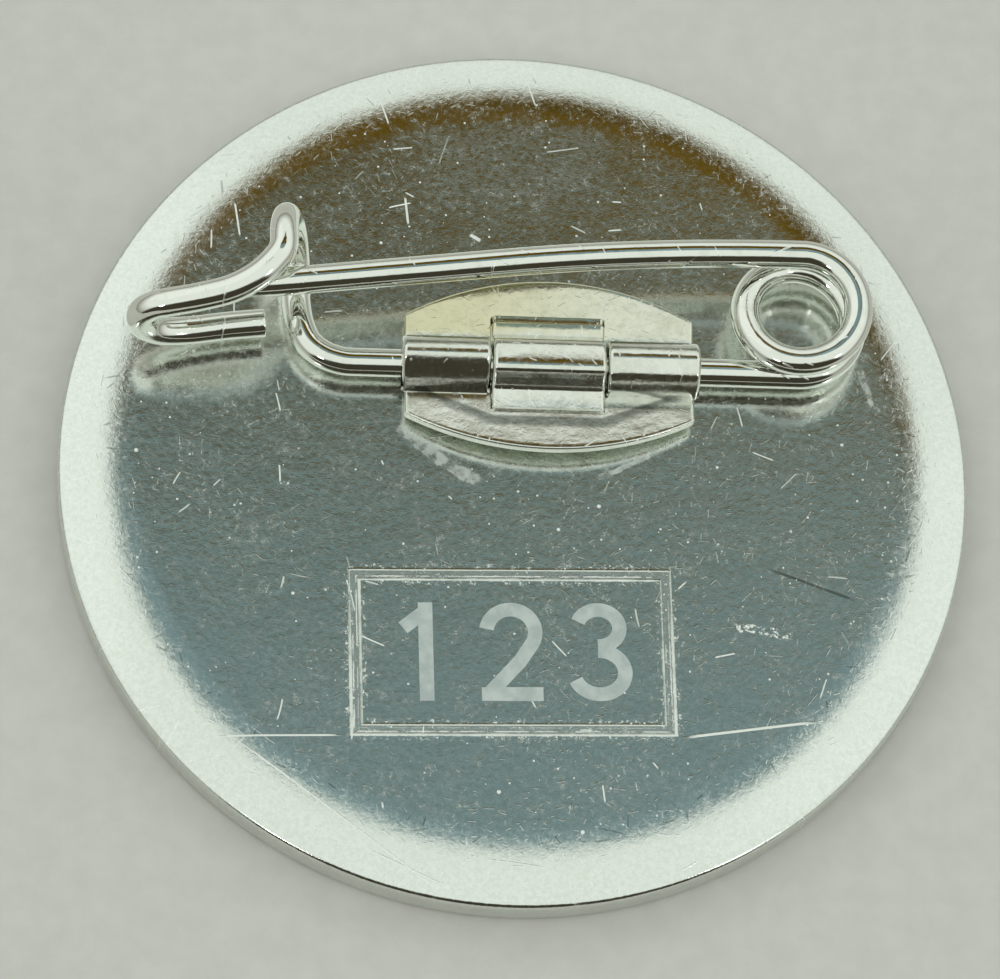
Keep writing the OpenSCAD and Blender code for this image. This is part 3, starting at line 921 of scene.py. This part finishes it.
def knuckle_section(crown, ledge):
    """Section of a knuckle as (y, z) points, and how many of them are outside the bore. crown is
    the outline over the wire, from its +Y flank to the foot's edge, as distances from the wire's
    axis. ledge is the outline of a ledge before it: distances from the wire and above the plate."""
    cy, cz = SWIVEL_Y, SWIVEL_Z
    start_y = cy + (ledge or crown)[0][0]
    section = [(start_y, dish(start_y, SHEET_T) - SINK)]
    section += [(cy + y, dish(cy + y, SHEET_T) + z) for y, z in ledge]
    section += [(cy + p.x, cz + p.y) for p in spline([Vector(p) for p in crown], 6)]
    foot_y = cy + crown[-1][0]
    section.append((foot_y, dish(foot_y, SHEET_T) - SINK))
    outer_count = len(section)
    reach = math.degrees(math.asin((cz - dish(cy, SHEET_T)) / BORE_R))
    section += arc(cy, cz, BORE_R, 180 + reach, -reach, 48)
    return section, outer_count


def make_knuckle(name, node, crown, ledge=()):
    """A knuckle whose two ends are rounded by END_ROUND."""
    lo, hi = in_mm(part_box(node))
    section, outer_count = knuckle_section(crown, ledge)
    n = len(section)
    inward = []
    for i in range(n):
        if i >= outer_count:
            inward.append(Vector((0, 0)))
            continue
        d = Vector(section[(i + 1) % n]) - Vector(section[i - 1])
        side = Vector((-d.y, d.x)).normalized()
        inward.append(side)
    rings = []
    for end, sign in ((lo[0], 1), (hi[0], -1)):
        steps = range(0, 7) if sign == 1 else range(6, -1, -1)
        for k in steps:
            a = math.radians(15 * k)
            inset = END_ROUND * (1 - math.sin(a))
            x = end + sign * END_ROUND * (1 - math.cos(a))
            rings.append([(x, y + v.x * inset, z + v.y * inset) for (y, z), v in zip(section, inward)])
    verts = [p for ring in rings for p in ring]
    faces = [tuple(range(n)), tuple(range(len(verts) - 1, len(verts) - n - 1, -1))]
    for j in range(len(rings) - 1):
        for i in range(n):
            i2 = (i + 1) % n
            faces.append((j * n + i, j * n + i2, (j + 1) * n + i2, (j + 1) * n + i))
    give(mesh_piece(name, verts, faces, 35), joint_metal, "polished_nickel", "badge", node)


END_ROUND = 0.2
# Each knuckle was pressed a little differently: the left one has a long flat front, the middle one
# a flat top and a broad foot, and the right one a shallow slope before it turns down.
BACK_FLANK = [(1.18, -0.1), (1.14, 0.35), (0.98, 0.7), (0.72, 0.97)]
LEFT_CROWN = BACK_FLANK + [
    (0.42, 1.12), (0.18, 1.17), (0.0, 1.14), (-0.25, 0.97), (-0.5, 0.72), (-0.74, 0.43), (-0.94, 0.12),
    (-1.08, -0.1), (-1.16, -0.2)]
MIDDLE_CROWN = [
    (1.2, 0.33), (1.12, 0.47), (0.97, 0.74), (0.72, 0.95), (0.42, 1.06), (0.12, 1.13), (-0.16, 1.175),
    (-0.4, 1.17), (-0.58, 1.08), (-0.75, 0.8), (-0.88, 0.55), (-1.0, 0.34), (-1.14, 0.2), (-1.42, 0.13),
    (-1.85, 0.06)]
RIGHT_CROWN = BACK_FLANK + [
    (0.42, 1.13), (0.2, 1.18), (0.02, 1.165), (-0.28, 1.08), (-0.55, 0.95), (-0.72, 0.78), (-0.9, 0.5),
    (-1.05, 0.18), (-1.16, -0.2)]
MIDDLE_LEDGE = [
    (2.26, 0.18), (2.2, 0.26), (2.02, 0.28), (1.95, 0.31), (1.9, 0.42), (1.82, 0.5), (1.62, 0.53),
    (1.42, 0.51), (1.3, 0.44)]
make_knuckle("knuckle_left", "left_knuckle", LEFT_CROWN)
make_knuckle("knuckle_middle", "middle_knuckle", MIDDLE_CROWN, MIDDLE_LEDGE)
make_knuckle("knuckle_right", "right_knuckle", RIGHT_CROWN)

# ---------------------------------------------------------------- wire

UNDER_H, OVER_H = 1.1, 5.335
LOOP_R = (OVER_H - UNDER_H) / 2
LOOP_OUT = 3.3
# X, distance beyond the fixed arm, and height above the back.
CATCH_ROUTE = (
    [(-6.6, 0, UNDER_H), (-7.4, 0.03, UNDER_H), (-8.2, 0.3, UNDER_H), (-8.85, 0.85, UNDER_H),
     (-9.2, 1.7, UNDER_H), (-9.35, 2.6, UNDER_H)]
    + [(-9.75 - 0.38 * math.sin(math.radians(a)), LOOP_OUT + LOOP_R * math.cos(math.radians(a)),
        (UNDER_H + OVER_H) / 2 + LOOP_R * math.sin(math.radians(a))) for a in range(-90, 91, 30)]
    + [(-10.5, 2.7, 5.25), (-11.2, 2.05, 5.1), (-12.2, 1.55, 4.85), (-13.4, 1.27, 4.6), (-14.6, 1.12, 4.3),
       (-15.3, 1.08, 4), (-15.8, 1, 3.5), (-15.9, 0.9, 2.8), (-15.6, 0.85, 2.15), (-14.9, 0.9, 1.65),
       (-13.8, 1.1, 1.35), (-12.2, 1.4, 1.25), (-10.75, 1.58, 1.25)])
ARM_BEND_R, ARM_BEND = 100.0, 7.2
ARM_STRAIGHT, POINT_LEN, TIP_R = 9.6, 4.2, 0.08
COIL_TURN = 540.0

wire_metal = wire_nickel()
catch_line = [p + Vector((0, SWIVEL_Y, BACK_Z)) for p in spline([Vector(p) for p in CATCH_ROUTE], 10)]
catch = swept_wire("catch_wire", catch_line, WIRE_R, (-1, 0, 0), catch_line[-1] - catch_line[-2],
                   end_round=0.1)
give(catch, wire_metal, "pin_wire", "pin_frame", "catch_hook")

arm_line = [(arm_lo[0] + (COIL_X - arm_lo[0]) * i / 24, SWIVEL_Y, SWIVEL_Z) for i in range(25)]
fixed = swept_wire("fixed_arm_wire", arm_line, WIRE_R, (1, 0, 0), (1, 0, 0))
give(fixed, wire_metal, "pin_wire", "pin_frame", "fixed_arm")


def coil_point(t):
    """Centre of the coil's wire at t from 0 to 1. The ends run level, the climb is in between."""
    a = math.radians(-90 + COIL_TURN * t)
    lift = t - math.sin(2 * math.pi * t) / (2 * math.pi)
    return (COIL_X + COIL_R * math.cos(a), COIL_Y + COIL_R * math.sin(a),
            SWIVEL_Z + (PIN_Z - SWIVEL_Z) * lift)


coil = swept_wire("coil_wire", [coil_point(i / 200) for i in range(201)], WIRE_R, (1, 0, 0), (-1, 0, 0))
give(coil, wire_metal, "pin_wire", None, "spring_coil")
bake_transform(coil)


def pin_line():
    """Centre line and radius of the pin arm, from the coil over its gentle bend to the point."""
    line = []
    top_y = COIL_Y + COIL_R
    for i in range(41):
        a = math.radians(ARM_BEND * i / 40)
        at = (COIL_X - ARM_BEND_R * math.sin(a), top_y - ARM_BEND_R * (1 - math.cos(a)), PIN_Z)
        line.append((at, WIRE_R))
    x, y, z = line[-1][0]
    c, s = math.cos(math.radians(ARM_BEND)), math.sin(math.radians(ARM_BEND))
    for i in range(1, 17):
        d = ARM_STRAIGHT * i / 16
        line.append(((x - c * d, y - s * d, z), WIRE_R))
    for i in range(1, 33):
        t = i / 32
        d = ARM_STRAIGHT + POINT_LEN * t
        r = TIP_R + (WIRE_R - TIP_R) * (1 - t ** 1.7)
        line.append(((x - c * d, y - s * d, z), r))
    return line


pin_points = pin_line()
pin = swept_wire("pin_arm_wire", [p for p, r in pin_points], lambda i: pin_points[i][1],
                 (-1, 0, 0), Vector(pin_points[-1][0]) - Vector(pin_points[-2][0]), end_round=0.06)
give(pin, wire_metal, "pin_wire", "pin_arm", "pin_arm")
